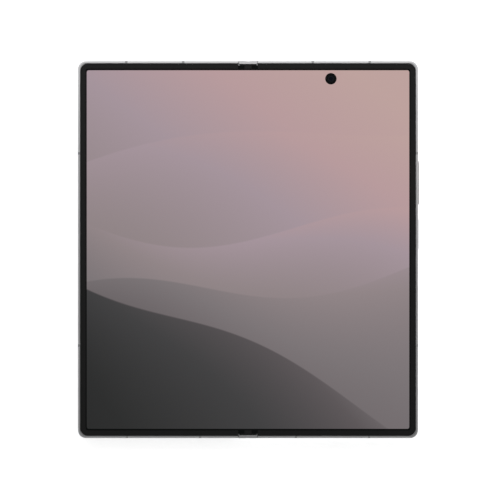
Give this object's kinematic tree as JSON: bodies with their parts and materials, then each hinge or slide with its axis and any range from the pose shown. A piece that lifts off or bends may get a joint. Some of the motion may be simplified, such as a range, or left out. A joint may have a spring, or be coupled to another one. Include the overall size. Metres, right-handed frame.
{
  "type": "foldable smartphone",
  "caption": "Book-style folding phone: two thin halves with a bending inner screen turn on a geared spine, with keys, card tray and cameras.",
  "frame": {"origin": "on the fold line at the middle of the phone's height, on the surface that its lens rings stand on", "axes": "+X to the right towards the half with the keys, +Y up the screen along the fold line, +Z out of the inner screen"},
  "size_m": [0.1434, 0.1584, 0.0069],
  "materials": {
    "frame_metal": "bead-blasted, anodised silver",
    "spine_metal": "polished, anodised silver",
    "antenna_plastic": "grey moulded inserts, flush",
    "midplate_metal": "machined, plain",
    "support_steel": "thin rolled sheet",
    "back_glass": "satin glass over a silver-grey film",
    "cover_glass": "polished clear glass with a black border",
    "outer_panel": "lit panel behind glass",
    "inner_panel": "soft folding screen, glossy film",
    "bezel_polymer": "soft black border",
    "lens_glass": "coated lens glass",
    "flash_lens": "diffusing window",
    "camera_housing": "black barrels and housings",
    "battery_pouch": "laminated pouch",
    "copper_coil": "flat-wound copper under film",
    "circuit_board": "solder-masked laminate",
    "shield_steel": "tinned sheet",
    "port_plastic": "moulded black",
    "motor_steel": "drawn steel case",
    "magnet": "nickel-plated magnet",
    "flex_film": "amber polyimide film",
    "hinge_steel": "sintered steel",
    "screw_steel": "black screws",
    "spring_steel": "hardened disc springs"
  },
  "bodies": {
    "main_half": {"main_frame": "frame_metal", "main_antenna_inserts": "antenna_plastic", "main_midplate": "midplate_metal", "main_back_glass": "back_glass", "camera_island": "frame_metal", "lens_rings": "frame_metal", "lens_windows": "lens_glass", "wide_camera": "camera_housing", "ultrawide_camera": "camera_housing", "tele_camera": "camera_housing", "flash_window": "flash_lens", "main_battery": "battery_pouch", "charging_coil": "copper_coil", "main_board": "circuit_board", "board_shields": "shield_steel", "port_board": "circuit_board", "port_shell": "shield_steel", "port_tongue": "port_plastic", "loudspeaker": "port_plastic", "haptic_motor": "motor_steel", "card_reader": "shield_steel", "main_magnets": "magnet", "main_screen": "inner_panel", "main_support_plate": "support_steel", "main_bezel": "bezel_polymer", "inner_camera": "camera_housing", "key_switches": "flex_film", "main_hinge_arms": "hinge_steel", "main_hinge_screws": "screw_steel"},
    "hinge_spine": {"spine_cover": "spine_metal", "spine_end_caps": "spine_metal", "hinge_brackets": "hinge_steel", "hinge_pins": "hinge_steel", "torque_springs": "spring_steel", "bracket_screws": "screw_steel", "bend_screen": "inner_panel", "bend_edge_caps": "bezel_polymer", "hinge_flex_cables": "flex_film"},
    "cover_half": {"cover_frame": "frame_metal", "cover_antenna_inserts": "antenna_plastic", "cover_midplate": "midplate_metal", "cover_glass": "cover_glass", "cover_screen": "outer_panel", "cover_camera": "camera_housing", "cover_battery": "battery_pouch", "cover_board": "circuit_board", "earpiece": "port_plastic", "cover_magnets": "magnet", "inner_cover_screen": "inner_panel", "cover_support_plate": "support_steel", "cover_bezel": "bezel_polymer", "cover_hinge_arms": "hinge_steel", "cover_hinge_screws": "screw_steel"},
    "main_idlers": {"main_idler_gears": "hinge_steel"},
    "cover_idlers": {"cover_idler_gears": "hinge_steel"},
    "main_wing": {"main_wing_plate": "support_steel"},
    "cover_wing": {"cover_wing_plate": "support_steel"},
    "volume_key": {"volume_key": "frame_metal"},
    "side_key": {"side_key": "frame_metal"},
    "card_tray": {"card_tray": "frame_metal"}
  },
  "joints": [
    {"name": "main_fold", "type": "hinge", "parent": "hinge_spine", "child": "main_half", "pos_m": [0.00135, 0, 0.0056], "axis": [0, -1, 0], "range_deg": [0, 90], "deforming": ["bend_screen", "hinge_flex_cables"]},
    {"name": "cover_fold", "type": "hinge", "parent": "hinge_spine", "child": "cover_half", "pos_m": [-0.00135, 0, 0.0056], "axis": [0, 1, 0], "range_deg": [0, 90], "deforming": ["bend_screen", "hinge_flex_cables"]},
    {"name": "main_idler_spin", "type": "hinge", "parent": "hinge_spine", "child": "main_idlers", "pos_m": [0.00068, 0, 0.00443], "axis": [0, 1, 0], "range_deg": [0, 90]},
    {"name": "cover_idler_spin", "type": "hinge", "parent": "hinge_spine", "child": "cover_idlers", "pos_m": [-0.00068, 0, 0.00443], "axis": [0, 1, 0], "range_deg": [-90, 0]},
    {"name": "main_wing_tilt", "type": "hinge", "parent": "main_half", "child": "main_wing", "pos_m": [0.0085, 0, 0.00611], "axis": [0, -1, 0], "range_deg": [0, 10]},
    {"name": "cover_wing_tilt", "type": "hinge", "parent": "cover_half", "child": "cover_wing", "pos_m": [-0.0085, 0, 0.00611], "axis": [0, 1, 0], "range_deg": [0, 10]},
    {"name": "volume_rock", "type": "hinge", "parent": "main_half", "child": "volume_key", "pos_m": [0.06986, 0.0281, 0.0046], "axis": [0, 0, 1], "range_deg": [-1.5, 1.5], "stiffness_Nm_per_rad": 0.3},
    {"name": "side_key_press", "type": "slide", "parent": "main_half", "child": "side_key", "axis": [-1, 0, 0], "range_m": [0, 0.0002], "stiffness_N_per_m": 2500},
    {"name": "card_tray_slide", "type": "slide", "parent": "main_half", "child": "card_tray", "axis": [0, 1, 0], "range_m": [0, 0.021]}
  ],
  "couplings": [
    {"joint": "cover_fold", "follows": "main_fold", "ratio": 1},
    {"joint": "main_idler_spin", "follows": "main_fold", "ratio": 1},
    {"joint": "cover_idler_spin", "follows": "main_fold", "ratio": -1},
    {"joint": "main_wing_tilt", "follows": "main_fold", "ratio": 0.11111},
    {"joint": "cover_wing_tilt", "follows": "main_fold", "ratio": 0.11111}
  ]
}
